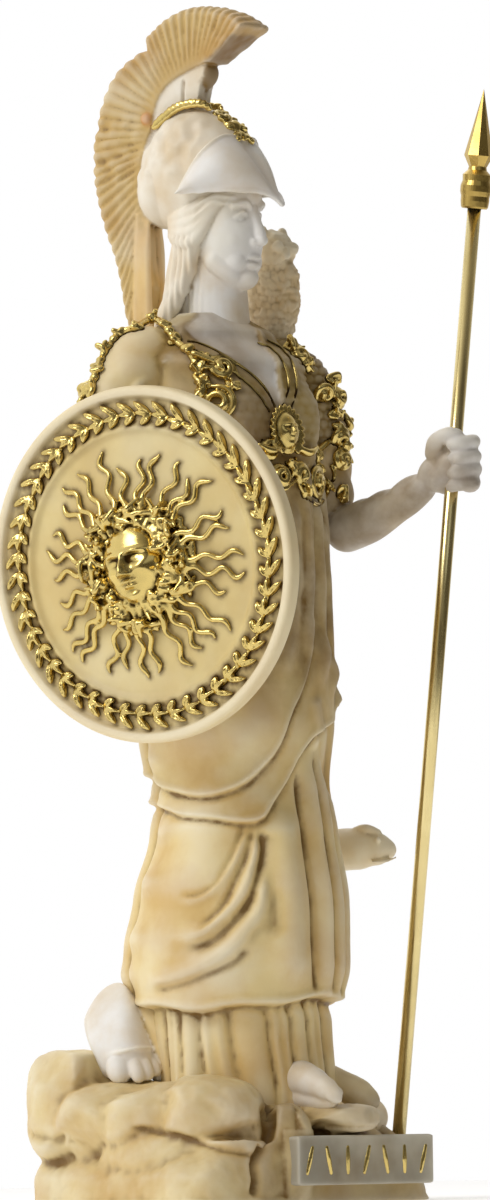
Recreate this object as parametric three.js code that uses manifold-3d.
// Athena figurine: a cast figure on a rock base, with a round shield and a brass spear.
// Millimetres, +Z up. The figure faces -Y, its right side is at -X, and z = 0 is the underside.
import * as THREE from 'three';
import { mergeVertices } from 'three/addons/utils/BufferGeometryUtils.js';
import { ConvexGeometry } from 'three/addons/geometries/ConvexGeometry.js';
import Module from 'manifold-3d';

const wasm = await Module();
wasm.setup();

// Driving dimensions
const figureHeight = 300;      // underside to the top of the crest
const baseWidth = 84;          // rock base, across the figure
const baseDepth = 72;          // rock base, front to back
const baseCorner = 12;         // rounding of the base's corners in plan
const baseBlockHeight = 16;    // plain block that the boulders are heaped on
const shieldRadius = 45;
const shieldRim = 6;           // thickness of the shield at its edge
const shieldDish = 2.4;        // how far the middle stands out before the rim
const rimBand = 3.3;           // width of the raised rim
const wreathBand = 7.2;        // width of the channel that the wreath lies in
const spearDiameter = 3.4;
const spearLength = 243;       // rod alone, from its socket in the base to the spear head
const spearHeadLength = 30;
const spearHeadSocket = 5;     // how far the rod goes into the spear head
const spearSocketDepth = 7;    // how far the rod goes into the base
const spearInset = 5.5;        // from the base's left side to the rod
const spearSetback = 11;       // from the base's front to the rod
const plaqueWidth = 46;
const plaqueHeight = 12.2;
const plaqueThickness = 3;
const plaqueInset = 7;         // from the base's left side to the plaque
const plaqueLift = 4.2;        // from the underside to the plaque
const clearance = 0.3;         // gap between two pieces that touch

// Free form is drawn on a 300 mm figure and follows the figure's own height.
const u = figureHeight / 300;
const P = (x, y, z) => new THREE.Vector3(x * u, y * u, z * u);
const rad = THREE.MathUtils.degToRad;
const TAU = Math.PI * 2;

const baseMiddle = P(-2, 4, 0);
const baseLeft = baseMiddle.x + baseWidth / 2;
const baseFront = baseMiddle.y - baseDepth / 2;

// The spear's line: where the rod goes into the rock, and the fist that it runs through
const spearFoot = new THREE.Vector3(baseLeft - spearInset, baseFront + spearSetback, 17 * u);
const fist = P(39.6, -39.2, 183);
const spearAxis = fist.clone().sub(spearFoot).normalize();

// The shield's middle and the way that its face looks
const shieldMiddle = P(-34.2, -5.6, 157);
const shieldNormal = new THREE.Vector3(-0.966, -0.247, -0.075).normalize();
const shieldUp = new THREE.Vector3(0.02, -0.13, 1).projectOnPlane(shieldNormal).normalize();

// The head: its middle and the turn of the face towards the figure's left
const headMiddle = P(-3.4, 3.6, 250);
const faceTurn = rad(18);
const faceForward = new THREE.Vector3(Math.sin(faceTurn), -Math.cos(faceTurn), 0);
const faceLeft = new THREE.Vector3(Math.cos(faceTurn), Math.sin(faceTurn), 0);

const stoneCream = new THREE.MeshStandardMaterial({ color: 0xe6d3a6, roughness: 0.62, metalness: 0 });
const shieldCream = new THREE.MeshStandardMaterial({ color: 0xe2cd98, roughness: 0.55, metalness: 0 });
const brass = new THREE.MeshStandardMaterial({ color: 0xc9a54a, roughness: 0.25, metalness: 1 });
const goldPaint = new THREE.MeshStandardMaterial({ color: 0xb8923a, roughness: 0.3, metalness: 1 });

// A closed three.js geometry becomes a solid for joining and cutting.
function solid(geometry) {
  const bare = geometry.clone();
  bare.deleteAttribute('normal');
  bare.deleteAttribute('uv');
  const merged = mergeVertices(bare, 1e-4);
  const mesh = new wasm.Mesh({
    numProp: 3,
    vertProperties: new Float32Array(merged.attributes.position.array),
    triVerts: new Uint32Array(merged.index.array),
  });
  return new wasm.Manifold(mesh);
}

function join(solids) {
  return solids.reduce((whole, next) => whole.add(next));
}

function geometryOf(manifold) {
  const mesh = manifold.getMesh();
  const geometry = new THREE.BufferGeometry();
  geometry.setAttribute('position', new THREE.BufferAttribute(mesh.vertProperties, 3));
  geometry.setIndex(new THREE.BufferAttribute(mesh.triVerts, 1));
  return geometry;
}

// Moves every vertex of a geometry by a function that writes to the vector it is given.
function mould(geometry, move) {
  const places = geometry.attributes.position;
  const p = new THREE.Vector3();
  for (let i = 0; i < places.count; i += 1) {
    p.fromBufferAttribute(places, i);
    move(p);
    places.setXYZ(i, p.x, p.y, p.z);
  }
  return geometry;
}

function smooth(low, high, x) {
  return THREE.MathUtils.smoothstep(x, low, high);
}

// Reads a smooth value from a few [where, value] pairs that are in rising order.
function along(pairs, where) {
  if (where <= pairs[0][0]) return pairs[0][1];
  for (let i = 1; i < pairs.length; i += 1) {
    const [a, va] = pairs[i - 1];
    const [b, vb] = pairs[i];
    if (where <= b) return va + (vb - va) * smooth(a, b, where);
  }
  return pairs[pairs.length - 1][1];
}

// A rounded lump: a sphere with its own radii, turned, with shallow facets like a modeller's tool leaves.
function lump(middle, radii, { detail = 2, turn = [0, 0, 0], rough = 0, seed = 0 } = {}) {
  const spin = new THREE.Matrix4().makeRotationFromEuler(new THREE.Euler(...turn.map(rad)));
  return solid(mould(new THREE.IcosahedronGeometry(1, detail), (p) => {
    const wave = Math.sin(3.1 * p.x + seed) * Math.cos(2.7 * p.y + 1.7 * seed) + Math.sin(3.7 * p.z - seed);
    p.multiplyScalar(1 + rough * wave);
    p.set(p.x * radii[0] * u, p.y * radii[1] * u, p.z * radii[2] * u).applyMatrix4(spin).add(middle);
  }));
}

// A limb: a round tube of changing thickness along a smooth curve, closed at both ends.
function limb(points, radii, { sides = 10, steps = 10, flat = 1 } = {}) {
  const curve = new THREE.CatmullRomCurve3(points);
  const frames = curve.computeFrenetFrames(steps, false);
  return solid(mould(new THREE.CylinderGeometry(1, 1, 1, sides, steps), (p) => {
    const t = p.y + 0.5;
    const k = Math.round(t * steps);
    const place = curve.getPointAt(t);
    const r = along(radii.map((value, i) => [i / (radii.length - 1), value * u]), t);
    const across = frames.normals[k].clone().multiplyScalar(p.x * r);
    const beside = frames.binormals[k].clone().multiplyScalar(-p.z * r * flat);
    p.copy(place).add(across).add(beside);
  }));
}

// A point given in the head's own directions: forward, to the figure's left, and height above the underside
function onHead(forward, left, height) {
  return new THREE.Vector3(headMiddle.x, headMiddle.y, 0)
    .addScaledVector(faceForward, forward * u)
    .addScaledVector(faceLeft, left * u)
    .setZ(height * u);
}

// Dress

// Rows of the draped body: height, middle x and y, half width and half depth
const bodyRows = [
  [19, 2, -1, 24, 21], [44, 1, 0, 24.5, 21], [49, 0, 0, 25, 21.5], [62, 0, 0, 25.5, 22],
  [76, 1, -0.5, 24.5, 21.5], [92, 2, -1, 22.5, 19.5], [104, 2.5, -1, 20.5, 18], [120, 2, -1, 22.5, 19.5],
  [136, 2, -1, 23, 19.5], [152, 2.5, -1, 22.5, 18.5], [166, 2, -1, 22, 18], [184, 0, 0, 23, 19],
  [198, -0.5, 2, 25, 19.5], [208, -1, 3, 25, 17], [216, -2, 4, 19, 12], [222, -2.6, 3.6, 9, 8],
];

// Hem of the upper overfold and of the lower one: angle round the body and height
const upperHem = [
  [-180, 108], [-110, 103], [-78, 101], [-57, 101], [-33, 106], [-14, 113], [-6, 124], [60, 128],
];
const lowerHem = [
  [-180, 104], [-110, 97], [-89, 96], [-53, 95], [-28, 95], [-14, 100], [3, 112], [47, 120], [180, 104],
];
const cloakHem = 48;
const overfoldStep = 2.4;

// Heavy folds that sag across the body: the angle and height of both ends, the height of the lowest point
const saggingFolds = [
  { from: [4, 104], low: 74, to: [-104, 88], height: 2.8 },
  { from: [-6, 90], low: 63, to: [-108, 76], height: 2.8 },
  { from: [-12, 78], low: 53, to: [-112, 64], height: 2.6 },
  { from: [22, 150], low: 121, to: [-76, 122], height: 1.8 },
  { from: [34, 132], low: 110, to: [-60, 112], height: 1.8 },
  { from: [150, 160], low: 122, to: [236, 152], height: 2.4 },
  { from: [146, 136], low: 98, to: [238, 126], height: 2.6 },
  { from: [144, 112], low: 74, to: [240, 100], height: 2.6 },
];
const saggingFoldWidth = 3.6;

// Long upright folds: angle round the body, bottom, top, height
const uprightFolds = [
  [9, 46, 108, 3.2], [26, 46, 116, 3.4], [43, 46, 126, 3], [60, 46, 150, 2.6], [77, 46, 170, 2.8],
  [94, 46, 180, 3], [111, 46, 186, 3], [128, 46, 186, 2.8], [-9, 50, 98, 2], [-120, 46, 150, 2.6],
  [-137, 46, 110, 2.6], [180, 46, 90, 2.4], [162, 46, 90, 2.4], [-155, 46, 90, 2.4],
  [14, 124, 176, 1.8], [-9, 124, 180, 1.6], [-32, 130, 176, 1.4],
];
const uprightFoldWidth = 6;    // degrees
const chitonFlutes = 17;
const chitonFluteDepth = 1.6;

function foldHeight(angle, z) {
  let relief = overfoldStep * smooth(-1.2, 1.2, z - along(upperHem, angle));
  relief += overfoldStep * smooth(-1.2, 1.2, z - along(lowerHem, angle));
  relief *= 1 - smooth(150, 172, z);
  relief += overfoldStep * smooth(cloakHem - 1.5, cloakHem + 1.5, z) * (1 - smooth(70, 100, z));
  for (const { from, low, to, height } of saggingFolds) {
    const turned = to[0] > 180 && angle < 0 ? angle + 360 : angle;
    const t = (turned - from[0]) / (to[0] - from[0]);
    if (t < 0 || t > 1) continue;
    const chord = from[1] + (to[1] - from[1]) * t;
    const sag = (low - (from[1] + to[1]) / 2) * 4 * t * (1 - t);
    const across = (z - chord - sag) / saggingFoldWidth;
    relief += height * Math.sin(Math.PI * t) * Math.exp(-(across ** 2));
  }
  for (const [middle, bottom, top, height] of uprightFolds) {
    const off = ((angle - middle + 540) % 360) - 180;
    const fade = smooth(bottom - 3, bottom + 3, z) * (1 - smooth(top - 14, top, z));
    relief += height * fade * Math.exp(-((off / uprightFoldWidth) ** 2));
  }
  const flutes = 1 - smooth(cloakHem - 2, cloakHem + 1, z);
  return relief + flutes * chitonFluteDepth * Math.cos(rad(angle) * chitonFlutes);
}

// Rows of facets lie closer together where the hems and the heavy folds are.
const rowsBelowFolds = 2;
const rowsInFolds = 17;
const rowsAboveFolds = 8;
const foldsFrom = 44;
const foldsTo = 128;

function rowHeight(share) {
  const rows = rowsBelowFolds + rowsInFolds + rowsAboveFolds;
  const row = Math.round(share * rows);
  const bottom = bodyRows[0][0];
  const top = bodyRows[bodyRows.length - 1][0];
  if (row <= rowsBelowFolds) return bottom + ((foldsFrom - bottom) * row) / rowsBelowFolds;
  const inFolds = row - rowsBelowFolds;
  if (inFolds <= rowsInFolds) return foldsFrom + ((foldsTo - foldsFrom) * inFolds) / rowsInFolds;
  return foldsTo + ((top - foldsTo) * (inFolds - rowsInFolds)) / rowsAboveFolds;
}

function drapedBody() {
  const sides = 2 * chitonFlutes;
  const rows = rowsBelowFolds + rowsInFolds + rowsAboveFolds;
  return solid(mould(new THREE.CylinderGeometry(1, 1, 1, sides, rows), (p) => {
    const z = rowHeight(p.y + 0.5);
    const angle = THREE.MathUtils.radToDeg(Math.atan2(p.x, p.z));
    const onAxis = Math.hypot(p.x, p.z) < 0.5;
    p.copy(onBody(angle, z, foldHeight(angle, z)));
    if (onAxis) p.copy(onBody(0, z, 0).add(onBody(180, z, 0)).multiplyScalar(0.5));
  }));
}

// A point on the draped body: the angle round it, from the front towards the figure's left, and the height
function onBody(degrees, z, out = 0) {
  const column = (i) => bodyRows.map((row) => [row[0], row[i]]);
  const angle = rad(degrees);
  const x = along(column(1), z) + (along(column(3), z) + out) * Math.sin(angle);
  const y = along(column(2), z) - (along(column(4), z) + out) * Math.cos(angle);
  return P(x, y, z);
}

// Aegis: looped snakes run along its border, as one thick winding rope in front and one behind.
const borderFront = [
  [-35.4, 8, 198], [-32, 0, 205], [-25, -3, 212.5], [-18, -7, 213], [-16.5, -13, 206],
  [-14, -16, 199], [-9, -19, 191], [-3, -20, 183], [6, -20.5, 178], [14, -18.5, 178],
  [20, -14, 183], [26, -10, 189], [32, -7, 196], [35, -2, 203],
];
const borderBack = [
  [31, 8, 203], [22, 18, 199], [12, 22, 195], [0, 23, 193], [-12, 23, 195], [-22, 20, 199], [-31, 15, 204],
];
const snakeThickness = 2.1;
const snakeSwing = 2.6;

function windingRope(points, turns) {
  const line = new THREE.CatmullRomCurve3(points.map(([x, y, z]) => P(x, y, z)));
  const count = turns * 2;
  const winding = [];
  for (let i = 0; i <= count; i += 1) {
    const swing = (i % 2 ? 1 : -1) * snakeSwing * u;
    winding.push(line.getPointAt(i / count).add(new THREE.Vector3(0, 0, swing)));
  }
  const radii = winding.map((_, i) => snakeThickness * (i === 0 || i === count ? 0.7 : 1));
  return limb(winding, radii, { sides: 4, steps: count });
}

function aegisBorder() {
  return [windingRope(borderFront, 11), windingRope(borderBack, 6)];
}

function chestMask() {
  const face = lump(onBody(0, 191.5), [4.6, 3.4, 6.2], { detail: 1 });
  const wings = [-1, 1].map((side) => limb(
    [onBody(side * 8, 195), onBody(side * 20, 198), onBody(side * 30, 195)],
    [2, 1.8, 0.8], { sides: 4, steps: 2 },
  ));
  return [face, ...wings];
}

// Head

function head() {
  const face = lump(onHead(4.5, 0, 241), [8.9, 8.6, 14.5], { turn: [-4, 0, 18] });
  const nose = solid(new ConvexGeometry([
    onHead(12, -1.2, 249), onHead(12, 1.2, 249), onHead(16.2, 0, 239.6), onHead(11.5, -2.6, 238.6),
    onHead(11.5, 2.6, 238.6), onHead(8, 0, 248), onHead(8, 0, 239),
  ]));
  const lips = lump(onHead(11.8, 0, 234.4), [2.9, 1.5, 1.2], { detail: 0, turn: [0, 0, 18] });
  const chin = lump(onHead(9.8, 0, 229.6), [3.6, 3, 3], { detail: 0, turn: [0, 0, 18] });
  const neck = limb(
    [P(-2.6, 4.6, 210), P(-2.8, 3.8, 222), onHead(-1, 0, 240)], [9.4, 7.8, 7.6], { sides: 8, steps: 2 },
  );
  return [face, nose, lips, chin, neck];
}

// Waved hair: locks from each temple down the side of the neck to the shoulder
function hair() {
  const locks = [];
  for (const side of [-1, 1]) {
    for (let i = 0; i < 2; i += 1) {
      const back = 5.2 * i;
      const points = [
        onHead(3 - back, side * 9.4, 250), onHead(-1 - back, side * 10.6, 241),
        onHead(-2.5 - back, side * 9.2, 231), onHead(-2 - back, side * 10.4, 222),
        onHead(0 - back, side * 12, 214),
      ];
      locks.push(limb(points, [2.6, 3.2, 2.9, 2.8, 2.2], { sides: 4, steps: 4 }));
    }
  }
  return locks;
}

function helmet() {
  const dome = lump(onHead(-2.6, 0, 257.5), [12.2, 14.6, 16.6], { turn: [0, 0, 18] });
  const visor = solid(new ConvexGeometry([
    onHead(24, 0, 249), onHead(22, 0, 253), onHead(13, 0, 268), onHead(5, 0, 271),
    ...[-1, 1].flatMap((side) => [
      onHead(19, side * 4.6, 248.8), onHead(11, side * 10.4, 249.6), onHead(0, side * 13.2, 251),
      onHead(-4, side * 13, 256), onHead(2, side * 12.4, 264), onHead(11, side * 8.6, 260.5),
    ]),
  ]));
  const opening = solid(new ConvexGeometry([
    ...[-1, 1].flatMap((side) => [
      onHead(18, side * 3.4, 249), onHead(9, side * 8.8, 249.8), onHead(6, side * 9, 254),
      onHead(19, side * 3.4, 243), onHead(6, side * 8.8, 244),
    ]),
  ]));
  const neckGuard = lump(onHead(-11.5, 0, 250), [11, 7.4, 11], { detail: 1, turn: [10, 0, 18] });
  return [dome, visor.subtract(opening), neckGuard];
}

// Crest: a ribbed fan that follows two curves, one on the helmet and one at its outer edge.
const crestInner = [
  [3, 281], [-5, 280], [-12, 275], [-16.5, 267.5], [-18.4, 258], [-17, 246], [-13.6, 236],
  [-13, 225], [-13.6, 214],
];
const crestOuter = [
  [19.4, 290.5], [10, 297.5], [0, 300], [-14.5, 293], [-26, 280], [-31.4, 263], [-29.6, 246],
  [-24.6, 231], [-22.4, 213],
];
const crestRibs = 24;
const crestThickness = 8.4;
const holderThickness = 6.6;

function fan(inner, outer, thickness, { ribs = 0, ribHeight = 0, steps = 60 }) {
  const curveOf = (pairs) => new THREE.CatmullRomCurve3(pairs.map(([f, z]) => new THREE.Vector3(f, 0, z)));
  const innerCurve = curveOf(inner);
  const outerCurve = curveOf(outer);
  return solid(mould(new THREE.BoxGeometry(1, 1, 1, steps, 1, 1), (p) => {
    const t = p.x + 0.5;
    const reach = p.y + 0.5;
    const from = innerCurve.getPoint(t);
    const to = outerCurve.getPoint(t);
    const rib = ribs ? Math.cos(TAU * ribs * t) : 0;
    const place = from.lerp(to, reach * (1 + 0.012 * rib));
    const half = thickness * (0.5 + ribHeight * rib * (0.3 + reach)) * (1 - 0.22 * Math.abs(reach - 0.5));
    p.copy(onHead(place.x, Math.sign(p.z) * half, place.z));
  }));
}

function crest() {
  const holderOuter = crestInner.slice(0, 5).map(([f, z]) => [f * 1.02, z + 0.8]);
  const holderInner = [[4, 270], [-3, 269], [-8, 266], [-11, 262], [-12, 257]];
  return [
    fan(crestInner, crestOuter, crestThickness, { ribs: crestRibs, ribHeight: 0.05, steps: 2 * crestRibs }),
    fan(holderInner, holderOuter, holderThickness, { steps: 10 }),
  ];
}

// The braid where the crest's holder meets the dome, and the ornament above the brow
function helmetBraid() {
  const sides = [-1, 1].map((side) => limb(
    [
      onHead(5, side * 1.5, 274.6), onHead(-2, side * 4.2, 274.4),
      onHead(-9, side * 5, 271), onHead(-14.5, side * 2.4, 266),
    ],
    [1.5, 1.9, 1.9, 1.5], { sides: 4, steps: 3 },
  ));
  const ornament = limb(
    [onHead(5, 0, 273), onHead(9.4, 0, 270), onHead(13, 0, 264)], [2, 2.9, 2.2], { sides: 5, steps: 2 },
  );
  return [...sides, ornament];
}

// Arms

function arms() {
  const rightUpper = limb(
    [P(-18, 6, 210), P(-24, 7, 205.5), P(-28.4, 9, 196), P(-31, 11, 184), P(-32, 12, 172)],
    [8, 9.4, 8.8, 8, 7], { sides: 8, steps: 5 },
  );
  const rightFore = limb(
    [P(-32, 12, 172), P(-32, 4, 162), P(-33, -5, 157)], [6.2, 5.2, 4.4], { sides: 7, steps: 3 },
  );
  const leftUpper = limb(
    [P(20, 2, 211), P(26, 2, 205), P(30, 0, 192), P(31, -2, 178), P(30.4, -3, 167)],
    [7, 8, 7.4, 6.6, 5.6], { sides: 8, steps: 5 },
  );
  const leftFore = limb(
    [P(30.4, -3, 167), P(33.4, -13, 169.6), P(36.6, -24, 174.6), P(39, -33, 180)],
    [5.8, 5.4, 4.3, 3.9], { sides: 8, steps: 4 },
  );
  return [rightUpper, rightFore, leftUpper, leftFore];
}

function leftHand() {
  const palm = lump(P(40.6, -37.2, 182.6), [5.2, 6.2, 7], { detail: 1, turn: [10, 0, 0] });
  const fingers = [0, 1, 2, 3].map((i) => {
    const z = 188 - 3.5 * i;
    return limb(
      [P(43.6, -38, z), P(44, -42.6, z + 0.3), P(39.6, -45.2, z), P(35.4, -42, z - 0.6)],
      [1.9, 2.1, 2, 1.6], { sides: 4, steps: 3 },
    );
  });
  const thumb = limb(
    [P(37, -34, 186), P(34.6, -38, 189.4), P(36, -42, 190.6)], [2, 2.1, 1.5], { sides: 5, steps: 2 },
  );
  return [palm, ...fingers, thumb];
}

// Feet: a tapered foot with five toes, from a heel to where the middle toe ends
function foot(heel, tip, ankle, mirror, size) {
  const way = tip.clone().sub(heel);
  const across = new THREE.Vector3(-way.y, way.x, 0).normalize().multiplyScalar(mirror);
  const at = (share, side, up) => heel.clone().addScaledVector(way, share)
    .addScaledVector(across, side * size * u).add(new THREE.Vector3(0, 0, up * size * u));
  const parts = [
    limb(
      [at(-0.02, 0, 2), at(0.3, 0, 3.4), at(0.78, 0, 2.2)], [4 * size, 4.8 * size, 5 * size],
      { sides: 7, steps: 3, flat: 1.15 },
    ),
    limb([ankle, at(0.12, 0, 5)], [5 * size, 4.6 * size], { sides: 7, steps: 1 }),
  ];
  for (let i = 0; i < 5; i += 1) {
    const side = -4.6 + 2.3 * i;
    const toe = (i === 0 ? 2.3 : 1.7 - 0.08 * i) * size;
    const reach = 1 - 0.03 * i;
    parts.push(limb([at(0.72, side, 1.6), at(reach, side, 1.4)], [toe, toe * 0.85], { sides: 3, steps: 1 }));
  }
  return parts;
}

function feet() {
  return [
    ...foot(P(-24, 27, 41), P(-21.4, 4, 27.6), P(-18, 17, 60), -1, 1.3),
    ...foot(P(9, -2, 24), P(14.6, -25.6, 22.6), P(9, 0, 34), 1, 1),
  ];
}

// Animals

function serpent() {
  const body = limb([
    P(22, -24, 19), P(34, -10, 21), P(38, 6, 22), P(32, 24, 24), P(18, 32, 34), P(10, 30, 54),
    P(16, 27, 74), P(26, 18, 86), P(34.6, 5, 88.2), P(39, -5, 88),
  ], [2.5, 5, 5.8, 6, 6, 5.8, 5.8, 5.8, 5.8, 5], { sides: 6, steps: 12 });
  const snout = lump(P(41.2, -9.4, 88.2), [4.8, 7.2, 4.8], { detail: 1, turn: [0, 0, 20] });
  const brow = lump(P(40.2, -6.6, 92), [3.4, 3.4, 2.2], { detail: 0 });
  return [body, snout, brow];
}

function owl() {
  const body = lump(P(24.4, 5.4, 226), [7.2, 7.2, 14], { detail: 1, turn: [8, 6, 0] });
  const crown = lump(P(23.6, 5, 240.6), [6.4, 6.4, 6.4], { detail: 1 });
  const ears = [-1, 1].map((side) => limb(
    [P(23.6 + side * 3, 5, 242), P(23.6 + side * 4.4, 6, 248)], [2.4, 1.1], { sides: 4, steps: 1 },
  ));
  const beak = lump(P(22.4, -1, 239.6), [1.3, 1.8, 2], { detail: 0 });
  const wings = [-1, 1].map((side) => lump(
    P(24.6 + side * 5.2, 8.6, 227), [3.2, 6.2, 11], { detail: 0, turn: [10, 0, 0] },
  ));
  return [body, crown, beak, ...ears, ...wings];
}

// Base

function basePlan(grow) {
  const halfX = baseWidth / 2 + grow;
  const halfY = baseDepth / 2 + grow;
  const r = baseCorner;
  const plan = new THREE.Shape();
  plan.moveTo(-halfX + r, -halfY);
  plan.lineTo(halfX - r * 0.4, -halfY);
  plan.quadraticCurveTo(halfX, -halfY, halfX, -halfY + r * 0.4);
  plan.lineTo(halfX, halfY - r);
  plan.quadraticCurveTo(halfX, halfY, halfX - r, halfY);
  plan.lineTo(-halfX + r, halfY);
  plan.quadraticCurveTo(-halfX, halfY, -halfX, halfY - r);
  plan.lineTo(-halfX, -halfY + r);
  plan.quadraticCurveTo(-halfX, -halfY, -halfX + r, -halfY);
  return plan;
}

// Boulders: middle, radii and turn
const rocks = [
  [[-25, 25, 19], [18, 17, 18], [0, 8, 20]], [[-27, -6, 11], [17, 22, 13], [0, 0, 10]],
  [[-12, -12, 16], [24, 19, 14.5], [8, 0, 20]], [[4, 8, 12], [32, 28, 14], [0, 0, 0]],
  [[28, -8, 11], [14, 20, 11], [0, 0, 10]], [[14, -18, 14], [15, 12, 8.5], [0, 0, 10]],
  [[24, 22, 11], [18, 17, 12], [0, 0, 0]],
];

function rockBase() {
  const extruded = (grow, depth) => new THREE.ExtrudeGeometry(basePlan(grow), {
    depth, bevelEnabled: false, curveSegments: 4,
  }).translate(baseMiddle.x, baseMiddle.y, 0);
  const block = solid(mould(extruded(0, baseBlockHeight), (p) => {
    const rise = p.z / baseBlockHeight;
    p.x = baseMiddle.x + (p.x - baseMiddle.x) * (1 - 0.08 * rise);
    p.y = baseMiddle.y + (p.y - baseMiddle.y) * (1 - 0.05 * rise);
  }));
  const boulders = rocks.map(([middle, radii, turn], i) => lump(
    P(...middle), radii, { turn, detail: 1, rough: 0.05, seed: 1.9 * i },
  ));
  const room = extruded(2, 60 * u);
  return join([block, ...boulders]).intersect(solid(room));
}

// Plaque: a tablet on the front of the base, with rows of shallow strokes
const plaqueMiddle = new THREE.Vector3(
  baseLeft - plaqueInset - plaqueWidth / 2, baseFront, plaqueLift + plaqueHeight / 2,
);
const strokeSlants = [16, -12, 0];    // degrees, repeated along the row
const strokeCount = 7;
const strokeWidth = 0.9;
const strokeDepth = 0.4;

function plaque() {
  const tablet = new THREE.BoxGeometry(plaqueWidth, plaqueThickness * 2, plaqueHeight);
  tablet.translate(plaqueMiddle.x, plaqueMiddle.y, plaqueMiddle.z);
  return solid(tablet);
}

function plaqueStrokes() {
  const cuts = [];
  for (let i = 0; i < strokeCount; i += 1) {
    const stroke = new THREE.BoxGeometry(strokeWidth, 2 * strokeDepth, plaqueHeight * 0.62);
    stroke.rotateY(rad(strokeSlants[i % strokeSlants.length]));
    const x = plaqueMiddle.x + plaqueWidth * 0.84 * (i / (strokeCount - 1) - 0.5);
    stroke.translate(x, plaqueMiddle.y - plaqueThickness, plaqueMiddle.z);
    cuts.push(solid(stroke));
  }
  return cuts;
}

// Spear

function rodFrame(object, start) {
  object.position.copy(start);
  object.quaternion.setFromUnitVectors(new THREE.Vector3(0, 0, 1), spearAxis);
  return object;
}

function rodHole(diameter, start, length) {
  const hole = new THREE.CylinderGeometry(diameter / 2, diameter / 2, length, 16);
  hole.rotateX(Math.PI / 2);
  hole.translate(0, 0, length / 2);
  const frame = rodFrame(new THREE.Object3D(), start);
  frame.updateMatrixWorld();
  return solid(hole.applyMatrix4(frame.matrixWorld));
}

const rodEnd = spearFoot.clone().addScaledVector(spearAxis, -spearSocketDepth);

function spearShaft() {
  const rod = new THREE.CylinderGeometry(spearDiameter / 2, spearDiameter / 2, spearLength, 16);
  rod.rotateX(Math.PI / 2);
  rod.translate(0, 0, spearLength / 2);
  return rodFrame(new THREE.Mesh(rod, brass), rodEnd);
}

function spearHead() {
  const bore = spearDiameter / 2 + clearance;
  const collar = bore + 1.6;
  const bulb = collar + 0.7;
  const neck = collar - 1.4;
  const blade = collar + 0.1;
  const L = spearHeadLength;
  const profile = [
    [0, spearHeadSocket + clearance], [bore, spearHeadSocket + clearance], [bore, 0], [collar - 0.5, 0],
    [collar, 0.06 * L], [bulb, 0.13 * L], [bulb, 0.2 * L], [collar, 0.28 * L], [neck, 0.34 * L],
    [blade, 0.44 * L], [neck - 0.4, 0.7 * L], [0, L],
  ].map(([r, z]) => new THREE.Vector2(r, z));
  const point = new THREE.LatheGeometry(profile, 8);
  point.rotateX(Math.PI / 2);
  const foot = rodEnd.clone().addScaledVector(spearAxis, spearLength - spearHeadSocket);
  return rodFrame(new THREE.Mesh(point, goldPaint), foot);
}

// Shield

function shieldFrame() {
  const side = new THREE.Vector3().crossVectors(shieldUp, shieldNormal);
  const matrix = new THREE.Matrix4().makeBasis(side, shieldUp, shieldNormal);
  return matrix.setPosition(shieldMiddle);
}

const rimInside = shieldRadius - rimBand;
const fieldRadius = rimInside - wreathBand;
const wreathRadius = rimInside - wreathBand / 2;
const rimHeight = 1.6;         // of the rim over the channel
const rimChamfer = 1.2;
const fieldRingHeight = 1.2;   // of the thin ring round the field
const fieldRingWidth = 1.1;

// Height of the shield's face over its back, by distance from the middle
function shieldFace(r) {
  const dome = shieldDish * Math.max(0, 1 - (r / fieldRadius) ** 2);
  const ring = fieldRingHeight * Math.exp(-(((r - fieldRadius) / fieldRingWidth) ** 2));
  const rim = rimHeight * smooth(rimInside, rimInside + rimChamfer, r);
  return shieldRim - rimHeight + dome + ring + rim;
}

function shieldBody(grow) {
  const R = shieldRadius;
  const radii = [
    rimInside + rimChamfer, rimInside, fieldRadius + 1.5 * fieldRingWidth, fieldRadius,
    fieldRadius - 1.5 * fieldRingWidth, 0,
  ];
  const edge = [
    [0, -grow], [R - rimChamfer, -grow], [R + grow, rimChamfer], [R + grow, shieldRim - rimChamfer],
  ];
  const face = radii.map((r) => [r, shieldFace(r)]);
  const profile = [...edge, ...face].map(([r, z]) => new THREE.Vector2(r, z));
  const disc = new THREE.LatheGeometry(profile, 32);
  disc.rotateX(Math.PI / 2);
  return disc;
}

function wreath() {
  const pairs = 18;
  const leaves = [];
  for (let i = 0; i < pairs; i += 1) {
    for (const side of [-1, 1]) {
      const angle = (TAU * i) / pairs;
      const leaf = new ConvexGeometry([[0, 3.2, -0.2], [-1.4, -2, -0.3], [1.4, -2, -0.3], [0, -1, 1.2]]
        .map(([x, y, z]) => new THREE.Vector3(x, y, z)));
      leaf.rotateZ(side * rad(-32));
      leaf.translate(wreathRadius + side * 1.25, side * 0.2, 0);
      leaf.rotateZ(angle);
      leaf.translate(0, 0, shieldFace(wreathRadius));
      leaves.push(solid(leaf));
    }
  }
  return leaves;
}

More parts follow.
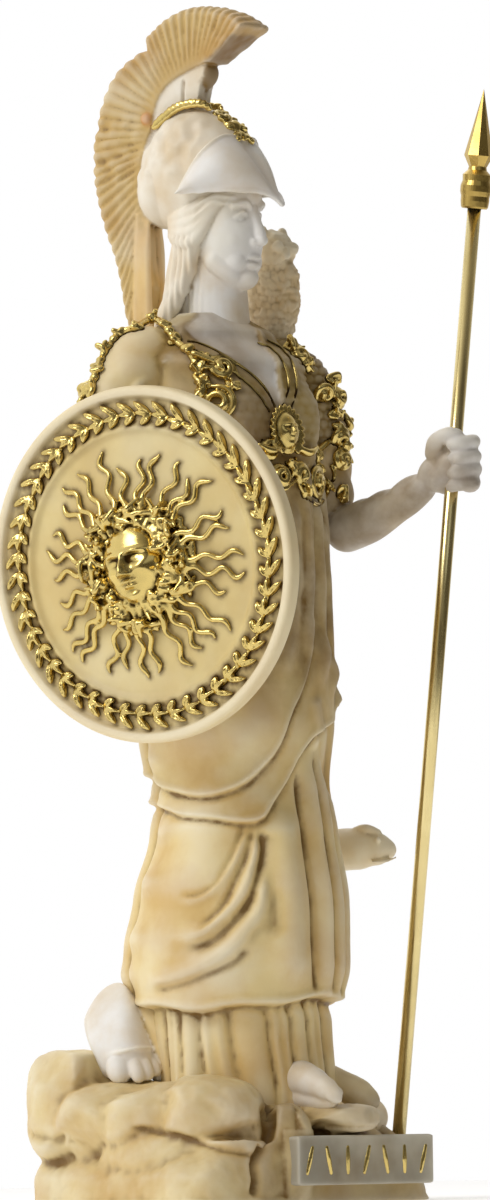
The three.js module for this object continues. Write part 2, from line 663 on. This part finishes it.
// The mask in the middle of the shield, with waving snakes all round it
function shieldMask() {
  const lift = shieldFace(0);
  const face = solid(new THREE.IcosahedronGeometry(1, 1).scale(8.2, 10, 5).translate(0, 0, lift + 1));
  const nose = solid(new ConvexGeometry([
    [0, 4, 5], [-1.6, -2.6, 5], [1.6, -2.6, 5], [0, -2, 8], [0, 3.6, 6.4], [0, -1, 4],
  ].map(([x, y, z]) => new THREE.Vector3(x, y, z + lift))));
  const snakes = [];
  const count = 8;
  const root = 8;
  for (let i = 0; i < count; i += 1) {
    const reach = fieldRadius * (i % 2 ? 0.82 : 0.68);
    const points = [0, 1, 2, 3].map((k) => {
      const r = root + ((reach - root) * k) / 3;
      const a = (TAU * i) / count + (k % 2 ? 0.18 : -0.14);
      return new THREE.Vector3(r * Math.cos(a), r * Math.sin(a), shieldFace(r) + 1.6 - 0.5 * k);
    });
    snakes.push(limb(points, [2.6 / u, 2.3 / u, 1.9 / u, 1.1 / u], { sides: 3, steps: 3 }));
  }
  return [face, nose, ...snakes];
}

function shield() {
  const whole = join([solid(shieldBody(0)), ...wreath(), ...shieldMask()]);
  const mesh = new THREE.Mesh(geometryOf(whole), shieldCream);
  mesh.applyMatrix4(shieldFrame());
  return mesh;
}

function statue() {
  const shieldRoom = solid(shieldBody(clearance).applyMatrix4(shieldFrame()));
  const holeEnd = rodEnd.clone().addScaledVector(spearAxis, -clearance);
  const hole = rodHole(spearDiameter + 2 * clearance, holeEnd, spearLength);
  const whole = join([
    rockBase(), plaque(), drapedBody(), ...aegisBorder(), ...chestMask(), ...head(), ...hair(), ...helmet(),
    ...crest(), ...helmetBraid(), ...arms(), ...leftHand(), ...feet(), ...serpent(), ...owl(),
  ]);
  const cut = [shieldRoom, hole, ...plaqueStrokes()].reduce((body, tool) => body.subtract(tool), whole);
  return new THREE.Mesh(geometryOf(cut), stoneCream);
}

const model = new THREE.Group();
for (const [name, mesh] of Object.entries({
  statue: statue(), shield: shield(), spear_shaft: spearShaft(), spear_head: spearHead(),
})) {
  mesh.name = name;
  model.add(mesh);
}

export default model;
